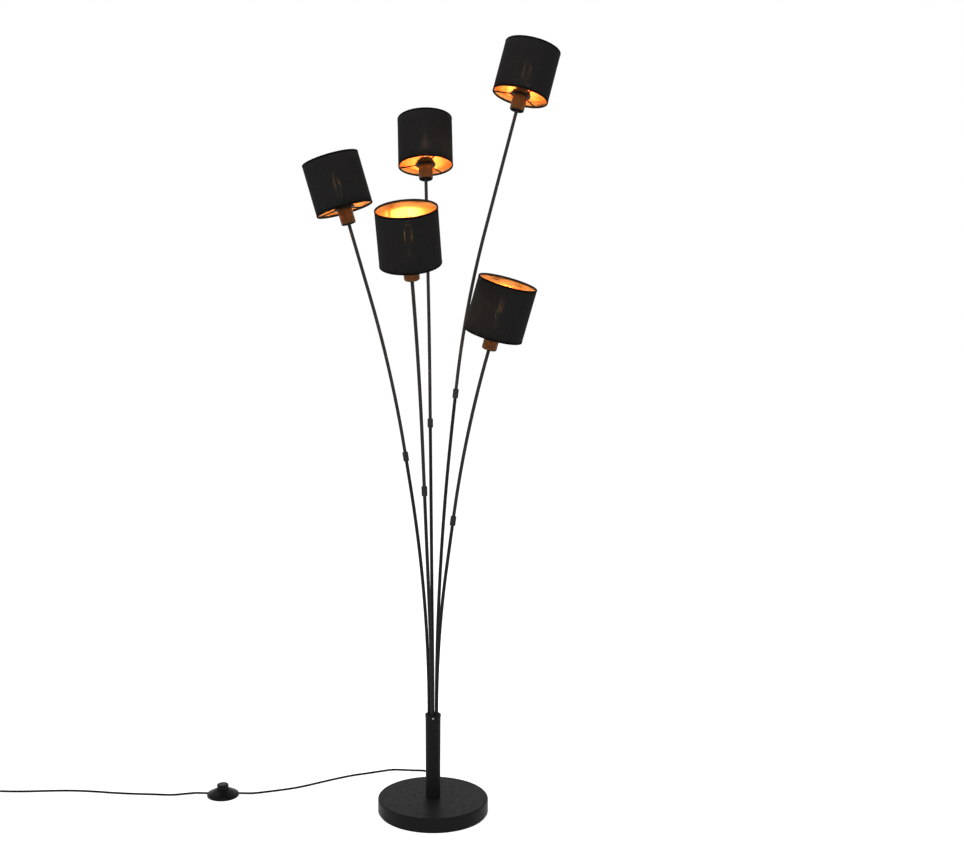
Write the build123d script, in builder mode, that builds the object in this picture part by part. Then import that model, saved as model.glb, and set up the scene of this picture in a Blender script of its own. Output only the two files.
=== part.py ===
"""Tree floor lamp with five arms.

A round weighted base carries a short pole. Five thin tubes stand in the mouth of the pole and lean
outwards in long bends. A sleeve joins each to an upper tube, which bends further and ends in a lamp
holder with a bulb and a drum shade. The supply cord leaves the back of the base, runs through a foot
switch and ends, coiled, in a flat two-pin plug.

The origin is the centre of the base on the floor. +Z is up and -Y is the front. Sizes are millimetres
and degrees.
"""

from build123d import *
from math import cos, pi, radians, sin, tan
import os

os.makedirs("parts", exist_ok=True)

# Play between pieces that seat in or on each other
fit_gap = 0.1
seat_gap = 0.3

# Base: a pressed steel pan over an iron disc, on a ring of foam
base_radius = 115.0
base_height = 28.0
base_sheet = 1.5
base_edge_radius = 3.0
base_lip_width = 14.0
pad_thickness = 3.5
pad_width = 10.0
pad_inset = 2.5
weight_radius = 98.0
weight_thickness = 14.0
weight_chamfer = 1.0

# Threaded tube, washer and nut that clamp the pole, the pan and the disc together
tie_radius = 5.0
tie_bore_radius = 3.4
tie_tail = 2.0
washer_radius = 14.0
washer_thickness = 2.0
nut_across_flats = 17.0
nut_thickness = 5.0
pole_plug_height = 12.0

# Pole: a steel tube that widens a little towards its mouth
pole_height = 179.0
pole_foot_radius = 15.2
pole_neck_radius = 15.9
pole_mouth_radius = 16.5
pole_mouth_height = 8.0
pole_bore_radius = 14.2
pole_lead_in = 1.2

# Hub that holds the five tubes in the pole's mouth, and the grub screw that clamps it
hub_depth = 2.0
hub_height = 28.0
hub_circle_radius = 8.6
hub_screw_drop = 4.7
hub_screw_radius = 2.0
hub_screw_bite = 1.5
screw_socket_radius = 1.1
screw_socket_depth = 1.6

# Arm tubes and the sleeves that join them
tube_radius = 3.5
tube_bore_radius = 2.7
tube_below_hub = 6.0
sleeve_radius = 5.9
sleeve_length = 19.0
sleeve_chamfer = 0.6
tube_end_gap = 0.4
sleeve_screw_rise = 4.2
sleeve_screw_radius = 1.9
sleeve_screw_proud = 0.2

# The five arms. azimuth: direction of lean. lean, bend and lower: angle, length of bend and whole
# length of the lower tube above the pole. foot, crook, tip_lean and upper: straight foot, length of
# bend, final angle and whole length of the upper tube. screw: azimuth of the sleeve's grub screw.
arms = {
    "a": dict(
        azimuth=37.6, lean=7.7, bend=597.0, lower=668.0, foot=12.0, crook=323.0, tip_lean=18.6, upper=597.5, screw=241.0
    ),
    "b": dict(
        azimuth=93.9, lean=8.4, bend=172.0, lower=604.0, foot=68.0, crook=192.0, tip_lean=18.3, upper=527.0, screw=258.0
    ),
    "c": dict(
        azimuth=161.6, lean=9.5, bend=476.0, lower=541.0, foot=12.0, crook=319.0, tip_lean=17.1, upper=485.5, screw=90.0
    ),
    "d": dict(
        azimuth=257.3, lean=9.8, bend=168.0, lower=488.0, foot=80.0, crook=347.0, tip_lean=19.2, upper=430.0, screw=320.0
    ),
    "e": dict(
        azimuth=329.2, lean=8.6, bend=316.0, lower=415.0, foot=12.0, crook=339.0, tip_lean=17.4, upper=359.0, screw=100.0
    ),
}

# Lamp holder: a metal cup over a screw socket, held by a nut on the end of the tube
cup_radius = 15.0
cup_height = 32.0
cup_wall = 1.0
cup_edge_radius = 2.5
holder_nut_across_flats = 12.0
holder_nut_thickness = 4.0
tube_past_nut = 3.0
socket_radius = 13.6
socket_height = 46.0
socket_bore_radius = 7.2
socket_bore_depth = 24.0

# Candle bulb in the socket
bulb_cap_radius = 6.9
bulb_cap_tip_radius = 3.0
bulb_cap_taper = 3.0
bulb_neck_radius = 7.5
bulb_neck_rise = 1.0
bulb_belly_radius = 17.5
bulb_belly_rise = 34.0
bulb_tip_radius = 1.5
bulb_length = 98.0

# Drum shade: a laminated wall with a rolled rim at each end, carried by a ring on three spokes
shade_radius = 59.0
shade_height = 109.0
shade_rise = 29.2
shade_wall = 1.2
shade_rim_height = 3.0
shade_rim_thickness = 2.6
shade_rim_chamfer = 0.7
fitter_radius = 21.5
fitter_thickness = 3.0
spoke_radius = 1.4
spoke_azimuth = 50.0
spoke_count = 3
ring_nut_radius = 18.3
ring_nut_height = 6.0

# Foot switch: a base plate, a domed cover and a round button
switch_x = -453.0
switch_y = 83.0
switch_radius = 34.0
switch_wall = 1.8
switch_plate_thickness = 3.0
switch_skirt_lift = 0.8
switch_skirt_height = 6.5
switch_edge_radius = 4.0
switch_height = 16.4
switch_collar_radius = 15.0
switch_collar_depth = 3.4
switch_collar_rise = 1.0
button_radius = 12.5
button_height = 26.5
button_edge_radius = 2.0
button_flange_width = 1.9
button_flange_height = 3.5
button_travel = 3.5
contact_radius = 11.0

# Supply cord
cord_diameter = 4.5
cord_exit_height = 10.5
cord_inside_base = 2.0
cord_inside_switch = 5.0
cord_bend_share = 0.45
base_lead = 18.0
switch_lead = 7.5
switch_cord_height = 5.6

# Strain relief in the wall of the pan
relief_flange_radius = 5.4
relief_flange_thickness = 1.6
relief_neck_radius = 4.4
relief_root_radius = 4.4
relief_tip_radius = 3.2
relief_length = 20.0

# Coil of the spare cord, two layers of flat spiral
coil_x = -1064.0
coil_y = 78.0
coil_inner_radius = 20.0
coil_turn_pitch = 5.8
coil_layer_rise = 5.3
coil_layer_half_turns = 5
coil_lead = 4.5
coil_approach = 19.5

# Flat plug with two round pins
plug_length = 36.0
plug_width = 35.0
plug_rear_width = 17.0
plug_shoulder = 15.0
plug_thickness = 13.7
plug_edge_radius = 2.5
plug_corner_radius = 3.0
plug_relief_length = 20.0
plug_relief_root_radius = 4.6
plug_relief_tip_radius = 3.2
plug_x = -1018.5
plug_tail_end_y = -38.0
pin_radius = 2.0
pin_shank_radius = 1.75
pin_shank_length = 10.0
pin_root_radius = 1.5
pin_length = 19.0
pin_spacing = 18.6
pin_seat_depth = 8.0
pin_tip_chamfer = 1.0

# Heights and radii that follow from the sizes above
base_top = pad_thickness + base_height
weight_top = base_top - base_sheet
weight_bottom = weight_top - weight_thickness
washer_bottom = weight_bottom - washer_thickness
nut_bottom = washer_bottom - nut_thickness
mouth_z = base_top + pole_height
hub_top = mouth_z - hub_depth
hub_bottom = hub_top - hub_height
cord_radius = cord_diameter / 2


def finish(builder, name):
    """Label the finished piece and write it."""
    builder.part.label = name
    export_step(builder.part, f"parts/{name}.step")


def heading(azimuth):
    """Horizontal unit vector."""
    return Vector(cos(radians(azimuth)), sin(radians(azimuth)), 0)


def grub_screw(face_plane, radius, length):
    """Grub screw whose outer end, with a hexagon socket, lies in face_plane."""
    with BuildPart() as screw:
        with BuildSketch(face_plane):
            Circle(radius)
        extrude(amount=-length)
        with BuildSketch(face_plane):
            RegularPolygon(screw_socket_radius, 6)
        extrude(amount=-screw_socket_depth, mode=Mode.SUBTRACT)
    return screw


# ---------------------------------------------------------------- base

with BuildPart() as base_cover:
    with BuildSketch(Plane.XZ):
        with BuildLine():
            Polyline(
                (tie_radius + fit_gap, base_top),
                (base_radius, base_top),
                (base_radius, pad_thickness),
                (base_radius - base_lip_width, pad_thickness),
                (base_radius - base_lip_width, pad_thickness + base_sheet),
                (base_radius - base_sheet, pad_thickness + base_sheet),
                (base_radius - base_sheet, weight_top),
                (tie_radius + fit_gap, weight_top),
                close=True,
            )
        make_face()
        outer_top = vertices().group_by(Axis.X)[-1].sort_by(Axis.Y)[-1]
        outer_bottom = vertices().group_by(Axis.X)[-1].sort_by(Axis.Y)[0]
        fillet(outer_top, base_edge_radius)
        fillet(outer_bottom, base_sheet)
    revolve(axis=Axis.Z)
    with BuildSketch(Plane(origin=(0, base_radius, cord_exit_height), z_dir=(0, 1, 0))):
        Circle(relief_neck_radius + fit_gap)
    extrude(amount=-2 * base_sheet, mode=Mode.SUBTRACT)
finish(base_cover, "base_cover")

with BuildPart() as base_weight:
    with BuildSketch(Plane.XY.offset(weight_bottom)):
        Circle(weight_radius)
        Circle(tie_radius + fit_gap, mode=Mode.SUBTRACT)
    extrude(amount=weight_thickness)
    chamfer(edges().filter_by(GeomType.CIRCLE).group_by(SortBy.RADIUS)[-1], weight_chamfer)
finish(base_weight, "base_weight")

with BuildPart() as base_pad:
    with BuildSketch(Plane.XY):
        Circle(base_radius - pad_inset)
        Circle(base_radius - pad_inset - pad_width, mode=Mode.SUBTRACT)
    extrude(amount=pad_thickness)
finish(base_pad, "base_pad")

with BuildPart() as cord_relief:
    # The collar stands against the outside of the pan, the neck passes through its wall and the tail
    # tapers along the cord.
    with BuildSketch(Plane.YZ):
        with BuildLine():
            Polyline(
                (base_radius - 2 * base_sheet, cord_exit_height),
                (base_radius - 2 * base_sheet, cord_exit_height + relief_neck_radius),
                (base_radius, cord_exit_height + relief_neck_radius),
                (base_radius, cord_exit_height + relief_flange_radius),
                (base_radius + relief_flange_thickness, cord_exit_height + relief_flange_radius),
                (base_radius + relief_flange_thickness, cord_exit_height + relief_root_radius),
                (base_radius + relief_length, cord_exit_height + relief_tip_radius),
                (base_radius + relief_length, cord_exit_height),
                close=True,
            )
        make_face()
    revolve(axis=Axis((0, 0, cord_exit_height), (0, 1, 0)))
    with BuildSketch(Plane(origin=(0, base_radius + relief_length, cord_exit_height), z_dir=(0, 1, 0))):
        Circle(cord_radius + fit_gap)
    extrude(amount=-2 * relief_length, mode=Mode.SUBTRACT)
finish(cord_relief, "cord_relief")

with BuildPart() as tie_rod:
    with BuildSketch(Plane.XY.offset(nut_bottom - tie_tail)):
        Circle(tie_radius)
        Circle(tie_bore_radius, mode=Mode.SUBTRACT)
    extrude(amount=base_top + pole_plug_height - nut_bottom + 2 * tie_tail)
finish(tie_rod, "tie_rod")

with BuildPart() as tie_washer:
    with BuildSketch(Plane.XY.offset(washer_bottom)):
        Circle(washer_radius)
        Circle(tie_radius + fit_gap, mode=Mode.SUBTRACT)
    extrude(amount=washer_thickness)
finish(tie_washer, "tie_washer")

with BuildPart() as tie_nut:
    with BuildSketch(Plane.XY.offset(nut_bottom)):
        RegularPolygon(nut_across_flats / 2, 6, major_radius=False)
        Circle(tie_radius + fit_gap, mode=Mode.SUBTRACT)
    extrude(amount=nut_thickness)
finish(tie_nut, "tie_nut")

# ---------------------------------------------------------------- pole

hub_screw_z = mouth_z - hub_screw_drop
hub_screw_face = Plane(origin=(0, -pole_mouth_radius, hub_screw_z), z_dir=(0, -1, 0))

with BuildPart() as pole_tube:
    with BuildSketch(Plane.XZ):
        with BuildLine():
            Polyline(
                (pole_bore_radius, base_top),
                (pole_foot_radius, base_top),
                (pole_neck_radius, mouth_z - pole_mouth_height),
                (pole_mouth_radius, mouth_z - pole_mouth_height / 2),
                (pole_mouth_radius, mouth_z),
                (pole_bore_radius + pole_lead_in, mouth_z),
                (pole_bore_radius, mouth_z - pole_lead_in),
                close=True,
            )
        make_face()
    revolve(axis=Axis.Z)
    with BuildSketch(hub_screw_face):
        Circle(hub_screw_radius + fit_gap)
    extrude(amount=pole_bore_radius - pole_mouth_radius - hub_screw_bite, mode=Mode.SUBTRACT)
finish(pole_tube, "pole_tube")

with BuildPart() as pole_plug:
    with BuildSketch(Plane.XY.offset(base_top)):
        Circle(pole_bore_radius - fit_gap)
        Circle(tie_radius + fit_gap, mode=Mode.SUBTRACT)
    extrude(amount=pole_plug_height)
finish(pole_plug, "pole_plug")

with BuildPart() as rod_hub:
    with BuildSketch(Plane.XY.offset(hub_bottom)):
        Circle(pole_bore_radius - fit_gap)
        for arm in arms.values():
            with Locations(hub_circle_radius * heading(arm["azimuth"])):
                Circle(tube_radius + fit_gap, mode=Mode.SUBTRACT)
    extrude(amount=hub_height)
    with BuildSketch(hub_screw_face):
        Circle(hub_screw_radius + fit_gap)
    extrude(amount=pole_bore_radius - pole_mouth_radius - hub_screw_bite, mode=Mode.SUBTRACT)
finish(rod_hub, "rod_hub")

hub_screw = grub_screw(hub_screw_face, hub_screw_radius, pole_mouth_radius - pole_bore_radius + hub_screw_bite)
finish(hub_screw, "hub_screw")

# ---------------------------------------------------------------- arms


def run(point, lean, length):
    """End of a straight stretch that starts at point and leans from the vertical."""
    x, y = point
    return x + length * sin(radians(lean)), y + length * cos(radians(lean))


def bend(point, lean_from, lean_to, length):
    """End of an arc that starts at point and turns from one lean to another."""
    x, y = point
    bend_radius = length / radians(lean_to - lean_from)
    return (
        x + bend_radius * (cos(radians(lean_from)) - cos(radians(lean_to))),
        y + bend_radius * (sin(radians(lean_to)) - sin(radians(lean_from))),
    )


def tube_along(first, turn, straight, last, arm_plane):
    """Tube along a straight run, an arc and a straight run, given by their four points."""
    with BuildPart() as tube:
        with BuildLine(arm_plane) as route:
            foot_run = Line(first, turn)
            TangentArc(turn, straight, tangent=foot_run % 1)
            Line(straight, last)
        with BuildSketch(Plane(origin=route.line @ 0, z_dir=route.line % 0)):
            Circle(tube_radius)
            Circle(tube_bore_radius, mode=Mode.SUBTRACT)
        sweep(path=route.line)
    return tube


def stations(arm):
    """Points of an arm in its own upright plane, measured from the pole's mouth."""
    mouth = (0, 0)
    bent = bend(mouth, 0, arm["lean"], arm["bend"])
    joint = run(bent, arm["lean"], arm["lower"] - arm["bend"])
    crook_start = run(joint, arm["lean"], arm["foot"])
    crook_end = bend(crook_start, arm["lean"], arm["tip_lean"], arm["crook"])
    tip = run(crook_end, arm["tip_lean"], arm["upper"] - arm["foot"] - arm["crook"])
    return mouth, bent, joint, crook_start, crook_end, tip


def plane_of(arm):
    """Upright plane of an arm, with its origin on the tube's axis at the pole's mouth."""
    origin = hub_circle_radius * heading(arm["azimuth"]) + Vector(0, 0, mouth_z)
    return Plane(origin=origin, x_dir=heading(arm["azimuth"]), z_dir=heading(arm["azimuth"] - 90))


def leaning(arm, point, lean):
    """The arm's plane moved to point and turned, so that its y axis runs along the tube there."""
    arm_plane = plane_of(arm)
    x_dir = cos(radians(lean)) * arm_plane.x_dir - sin(radians(lean)) * arm_plane.y_dir
    return Plane(origin=arm_plane.from_local_coords(point), x_dir=x_dir, z_dir=arm_plane.z_dir)


def around(axis_plane):
    """Axis of revolution of the pieces drawn in a leaning plane."""
    return Axis(axis_plane.origin, axis_plane.y_dir)


def across(axis_plane, rise):
    """Plane square to the tube's axis, at a height along it."""
    return Plane(
        origin=axis_plane.origin + rise * axis_plane.y_dir,
        x_dir=axis_plane.x_dir,
        z_dir=axis_plane.y_dir,
    )


joint_planes = {}
tip_planes = {}
for letter, arm in arms.items():
    mouth, bent, joint, crook_start, crook_end, tip = stations(arm)
    joint_planes[letter] = leaning(arm, joint, arm["lean"])
    tip_planes[letter] = leaning(arm, tip, arm["tip_lean"])

    lower_end = run(joint, arm["lean"], -tube_end_gap / 2)
    lower_foot = (0, -hub_depth - hub_height - tube_below_hub)
    arm_lower = tube_along(lower_foot, mouth, bent, lower_end, plane_of(arm))
    finish(arm_lower, f"arm_lower_{letter}")

    upper_start = run(joint, arm["lean"], tube_end_gap / 2)
    upper_end = run(tip, arm["tip_lean"], cup_wall + holder_nut_thickness + tube_past_nut)
    arm_upper = tube_along(upper_start, crook_start, crook_end, upper_end, plane_of(arm))
    finish(arm_upper, f"arm_upper_{letter}")


def sleeve_screw_face(letter):
    """Plane of the outer end of the grub screw in a sleeve."""
    axis_plane = joint_planes[letter]
    turn = radians(arms[letter]["screw"] - arms[letter]["azimuth"])
    outwards = cos(turn) * axis_plane.x_dir - sin(turn) * axis_plane.z_dir
    origin = axis_plane.origin + sleeve_screw_rise * axis_plane.y_dir
    return Plane(origin=origin + (sleeve_radius + sleeve_screw_proud) * outwards, z_dir=outwards)


sleeve_screw_length = sleeve_radius + sleeve_screw_proud - tube_radius - fit_gap

with BuildPart() as arm_sleeves:
    for letter in arms:
        with BuildSketch(across(joint_planes[letter], -sleeve_length / 2)):
            Circle(sleeve_radius)
            Circle(tube_radius + fit_gap, mode=Mode.SUBTRACT)
        extrude(amount=sleeve_length)
    chamfer(edges().filter_by(GeomType.CIRCLE).group_by(SortBy.RADIUS)[-1], sleeve_chamfer)
    for letter in arms:
        with BuildSketch(sleeve_screw_face(letter)):
            Circle(sleeve_screw_radius + fit_gap)
        extrude(amount=-sleeve_screw_length, mode=Mode.SUBTRACT)
finish(arm_sleeves, "arm_sleeves")

with BuildPart() as sleeve_screws:
    for letter in arms:
        add(grub_screw(sleeve_screw_face(letter), sleeve_screw_radius, sleeve_screw_length).part)
finish(sleeve_screws, "sleeve_screws")

# ---------------------------------------------------------------- lamp holders and bulbs

nut_top = cup_wall + holder_nut_thickness
socket_floor = socket_height - socket_bore_depth
bulb_foot = socket_floor + seat_gap
bulb_neck = socket_height + bulb_neck_rise
bulb_belly = bulb_neck + bulb_belly_rise
bulb_top = bulb_foot + bulb_length
fitter_top = cup_height + fitter_thickness

with BuildPart() as holder_nuts:
    for letter in arms:
        with BuildSketch(across(tip_planes[letter], cup_wall)):
            RegularPolygon(holder_nut_across_flats / 2, 6, major_radius=False)
            Circle(tube_radius + fit_gap, mode=Mode.SUBTRACT)
        extrude(amount=holder_nut_thickness)
finish(holder_nuts, "holder_nuts")

with BuildPart() as ring_nuts:
    for letter in arms:
        with BuildSketch(across(tip_planes[letter], fitter_top)):
            Circle(ring_nut_radius)
            Circle(socket_radius + fit_gap, mode=Mode.SUBTRACT)
        extrude(amount=ring_nut_height)
finish(ring_nuts, "ring_nuts")

for letter in arms:
    axis_plane = tip_planes[letter]

    with BuildPart() as holder_cup:
        with BuildSketch(axis_plane):
            with BuildLine():
                Polyline(
                    (tube_radius + fit_gap, 0),
                    (cup_radius, 0),
                    (cup_radius, cup_height),
                    (cup_radius - cup_wall, cup_height),
                    (cup_radius - cup_wall, cup_wall),
                    (tube_radius + fit_gap, cup_wall),
                    close=True,
                )
            make_face()
            outer_corner = vertices().group_by(Axis.X)[-1].sort_by(Axis.Y)[0]
            inner_corner = vertices().group_by(Axis.X)[-2].sort_by(Axis.Y)[0]
            fillet(outer_corner, cup_edge_radius)
            fillet(inner_corner, cup_edge_radius - cup_wall)
        revolve(axis=around(axis_plane))
    finish(holder_cup, f"holder_cup_{letter}")

    with BuildPart() as lamp_socket:
        with BuildSketch(axis_plane):
            with BuildLine():
                Polyline(
                    (tube_radius + fit_gap, nut_top),
                    (socket_radius, nut_top),
                    (socket_radius, socket_height),
                    (socket_bore_radius, socket_height),
                    (socket_bore_radius, socket_floor),
                    (0, socket_floor),
                    (0, nut_top + tube_past_nut + seat_gap),
                    (tube_radius + fit_gap, nut_top + tube_past_nut + seat_gap),
                    close=True,
                )
            make_face()
        revolve(axis=around(axis_plane))
    finish(lamp_socket, f"lamp_socket_{letter}")

    with BuildPart() as bulb:
        with BuildSketch(axis_plane):
            with BuildLine():
                Polyline(
                    (0, bulb_top),
                    (0, bulb_foot),
                    (bulb_cap_tip_radius, bulb_foot),
                    (bulb_cap_radius, bulb_foot + bulb_cap_taper),
                    (bulb_cap_radius, socket_height),
                    (bulb_neck_radius, bulb_neck),
                )
                TangentArc(
                    (bulb_belly_radius, bulb_belly),
                    (bulb_neck_radius, bulb_neck),
                    tangent=Vector(0, -1, 0),
                )
                TangentArc(
                    (bulb_belly_radius, bulb_belly),
                    (bulb_tip_radius, bulb_top),
                    tangent=Vector(0, 1, 0),
                )
                Line((bulb_tip_radius, bulb_top), (0, bulb_top))
            make_face()
        revolve(axis=around(axis_plane))
    finish(bulb, f"bulb_{letter}")

# ---------------------------------------------------------------- shades

shade_top = shade_rise + shade_height
rim_inner_radius = shade_radius - shade_rim_thickness
wall_inner_radius = shade_radius - shade_wall
fitter_middle = cup_height + fitter_thickness / 2
rim_middle = shade_rise + shade_rim_height / 2

for letter, arm in arms.items():
    axis_plane = tip_planes[letter]

    with BuildPart() as shade_drum:
        with BuildSketch(axis_plane):
            with BuildLine():
                Polyline(
                    (rim_inner_radius, shade_rise),
                    (shade_radius, shade_rise),
                    (shade_radius, shade_top),
                    (rim_inner_radius, shade_top),
                    (rim_inner_radius, shade_top - shade_rim_height),
                    (wall_inner_radius, shade_top - shade_rim_height),
                    (wall_inner_radius, shade_rise + shade_rim_height),
                    (rim_inner_radius, shade_rise + shade_rim_height),
                    close=True,
                )
            make_face()
            chamfer(vertices().group_by(Axis.X)[-1], shade_rim_chamfer)
        revolve(axis=around(axis_plane))
    finish(shade_drum, f"shade_drum_{letter}")

    with BuildPart() as shade_spider:
        with BuildSketch(across(axis_plane, cup_height)):
            Circle(fitter_radius)
            Circle(socket_radius + 2 * fit_gap, mode=Mode.SUBTRACT)
        extrude(amount=fitter_thickness)
        for spoke in range(spoke_count):
            turn = radians(spoke_azimuth + spoke * 360 / spoke_count - arm["azimuth"])
            outwards = cos(turn) * axis_plane.x_dir - sin(turn) * axis_plane.z_dir
            inner_end = across(axis_plane, fitter_middle).origin + (fitter_radius - spoke_radius) * outwards
            outer_end = across(axis_plane, rim_middle).origin + (rim_inner_radius - fit_gap) * outwards
            with BuildSketch(Plane(origin=inner_end, z_dir=outer_end - inner_end)):
                Circle(spoke_radius)
            extrude(amount=(outer_end - inner_end).length)
    finish(shade_spider, f"shade_spider_{letter}")

# ---------------------------------------------------------------- foot switch

switch_plane = Plane(origin=(switch_x, switch_y, 0), x_dir=(1, 0, 0), z_dir=(0, -1, 0))
switch_axis = Axis((switch_x, switch_y, 0), (0, 0, 1))
skirt_inner_radius = switch_radius - switch_wall
collar_bottom = switch_height - switch_collar_depth
flange_radius = button_radius + button_flange_width
flange_top = collar_bottom - seat_gap
flange_bottom = flange_top - button_flange_height
collar_inner_radius = button_radius + seat_gap
contact_top = flange_bottom - button_travel - seat_gap

with BuildPart() as switch_plate:
    with BuildSketch(Plane.XY):
        with Locations((switch_x, switch_y)):
            Circle(skirt_inner_radius - fit_gap)
    extrude(amount=switch_plate_thickness)
finish(switch_plate, "switch_plate")

with BuildPart() as switch_contact:
    with BuildSketch(Plane.XY.offset(switch_plate_thickness)):
        with Locations((switch_x, switch_y)):
            Circle(contact_radius)
    extrude(amount=contact_top - switch_plate_thickness)
finish(switch_contact, "switch_contact")

with BuildPart() as switch_cover:
    with BuildSketch(switch_plane):
        with BuildLine():
            Polyline(
                (skirt_inner_radius, switch_skirt_lift),
                (switch_radius, switch_skirt_lift),
                (switch_radius, switch_skirt_height),
                (switch_collar_radius, switch_height - switch_collar_rise),
                (switch_collar_radius, switch_height),
                (collar_inner_radius, switch_height),
                (collar_inner_radius, collar_bottom),
                (switch_collar_radius, collar_bottom),
                (skirt_inner_radius, switch_skirt_height - switch_wall),
                close=True,
            )
        make_face()
        outer_corners = vertices().group_by(Axis.X)[-1].sort_by(Axis.Y)
        fillet(outer_corners[-1], switch_edge_radius)
    revolve(axis=switch_axis)
    with BuildSketch(Plane(origin=(switch_x, switch_y, switch_cord_height), z_dir=(1, 0, 0))):
        Circle(cord_radius + fit_gap)
    extrude(amount=2 * switch_radius, both=True, mode=Mode.SUBTRACT)
finish(switch_cover, "switch_cover")

with BuildPart() as switch_button:
    with BuildSketch(switch_plane):
        with BuildLine():
            Polyline(
                (0, flange_bottom),
                (flange_radius, flange_bottom),
                (flange_radius, flange_top),
                (button_radius, flange_top),
                (button_radius, button_height),
                (0, button_height),
                close=True,
            )
        make_face()
        fillet(vertices().group_by(Axis.Y)[-1].sort_by(Axis.X)[-1], button_edge_radius)
    revolve(axis=switch_axis)
finish(switch_button, "switch_button")

# ---------------------------------------------------------------- supply cord

floor = cord_radius
relief_end = base_radius + relief_length

# From the base to the foot switch
lamp_side = [
    (0, base_radius - cord_inside_base, cord_exit_height),
    (0, relief_end + base_lead, cord_exit_height),
    (6, 192.5, floor),
    (-1.2, 212.2, floor),
    (-21, 223.7, floor),
    (-44, 224, floor),
    (-68, 227, floor),
    (-92, 229.5, floor),
    (-121, 217.5, floor),
    (-151, 205, floor),
    (-180, 194.5, floor),
    (-221, 171, floor),
    (-261, 144.5, floor),
    (-297, 122, floor),
    (-333, 108, floor),
    (-362, 98.5, floor),
    (-384, 91, 2.5),
    (-398, 85.5, 4.2),
    (switch_x + switch_radius + switch_lead, switch_y, switch_cord_height),
    (switch_x + switch_radius - cord_inside_switch, switch_y, switch_cord_height),
]

# From the foot switch to the coil
coil_outer_radius = coil_inner_radius + coil_layer_half_turns * coil_turn_pitch / 2
plug_side = [
    (switch_x - switch_radius + cord_inside_switch, switch_y, switch_cord_height),
    (switch_x - switch_radius - switch_lead, switch_y, switch_cord_height),
    (-506.5, 87.5, 4.4),
    (-519.5, 90.8, 2.6),
    (-536, 87.5, floor),
    (-562, 80.5, floor),
    (-599, 84.5, floor),
    (-640, 87, floor),
    (-688, 92, floor),
    (-736, 101, floor),
    (-785, 106, floor),
    (-834, 104.5, floor),
    (-884, 100.5, floor),
    (-934, 101.5, floor),
    (-980, 106.5, floor),
    (-1019, 111.6, floor),
    (coil_x + coil_lead + coil_approach, coil_y + coil_outer_radius, floor),
    (coil_x + coil_lead, coil_y + coil_outer_radius, floor),
]


def bend_radii(points):
    """Radius of the arc at each inner point: a share of the shorter run beside it."""
    places = [Vector(*point) for point in points]
    radii = []
    for before, here, after in zip(places, places[1:], places[2:]):
        turn = (here - before).get_angle(after - here)
        shorter = min((here - before).length, (after - here).length)
        radii.append(cord_bend_share * shorter / tan(radians(turn / 2)))
    return radii


def report(name, route, tube):
    """Print the length of a stretch and how its volume compares with section times length."""
    length = route.wire().length
    share = tube.part.volume / (pi * cord_radius**2 * length)
    print(f"{name}: {length:.0f} mm long, volume {share:.4f} of section times length")
    return length


def cord_tube(name, points):
    """Free stretch of cord: straight runs joined by tangent arcs."""
    radii = bend_radii(points)
    with BuildPart() as tube:
        with BuildLine() as route:
            FilletPolyline(*points, radius=radii)
        with BuildSketch(Plane(origin=route.line @ 0, z_dir=route.line % 0)):
            Circle(cord_radius)
        sweep(path=route.line)
    print(f"{name} radii:", [round(radius) for radius in radii])
    finish(tube, name)
    return report(name, route, tube)


def coil_turn_ends():
    """Ends of the half turns: one layer winds in, the next climbs onto it and winds out."""
    ends = []
    for step in range(2 * coil_layer_half_turns + 2):
        layer = step > coil_layer_half_turns
        from_middle = step - coil_layer_half_turns - layer
        turn_radius = coil_inner_radius + abs(from_middle) * coil_turn_pitch / 2
        side = 1 if step % 2 == 0 else -1
        ends.append(Vector(coil_x, coil_y + side * turn_radius, floor + layer * coil_layer_rise))
    return ends


def least_gap(line, step=1.5):
    """Smallest clear distance between turns, measured between points along the line."""
    count = int(line.length / step)
    points = [line @ (index / count) for index in range(count + 1)]
    apart = int(4 * cord_diameter / step)
    nearest = min(
        (one - other).length for index, one in enumerate(points) for other in points[index + apart :]
    )
    return nearest - cord_diameter


lamp_side_length = cord_tube("cord_lamp_side", lamp_side)
plug_side_length = cord_tube("cord_plug_side", plug_side)

with BuildPart() as cord_coil:
    turn_ends = coil_turn_ends()
    with BuildLine() as coil_route:
        Line(turn_ends[0] + Vector(coil_lead, 0, 0), turn_ends[0])
        for step, (start, end) in enumerate(zip(turn_ends, turn_ends[1:])):
            onwards = Vector(-1 if step % 2 == 0 else 1, 0, 0)
            chord = end - start
            middle = (start + end) / 2 + onwards * (chord.length / 2)
            TangentArc(start, middle, tangent=onwards)
            TangentArc(middle, end, tangent=chord)
        Line(turn_ends[-1], turn_ends[-1] + Vector(coil_lead, 0, 0))
    with BuildSketch(Plane(origin=coil_route.line @ 0, z_dir=coil_route.line % 0)):
        Circle(cord_radius)
    sweep(path=coil_route.line)
finish(cord_coil, "cord_coil")
coil_length = report("cord_coil", coil_route, cord_coil)
print(f"cord_coil: least gap to itself {least_gap(coil_route.wire()):.2f} mm")

# From the coil to the plug
coil_end = coil_route.line @ 1
plug_axis_z = plug_thickness / 2
plug_tail = [
    (coil_end.X, coil_end.Y, coil_end.Z),
    (-1035.5, coil_end.Y, 5.2),
    (plug_x, 26.5, 3.0),
    (plug_x, 4, 3.8),
    (plug_x, -17, plug_axis_z),
    (plug_x, plug_tail_end_y, plug_axis_z),
]
tail_length = cord_tube("cord_plug_tail", plug_tail)
print(f"cord: {lamp_side_length + plug_side_length + coil_length + tail_length:.0f} mm from base to plug")

# ---------------------------------------------------------------- plug

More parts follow.
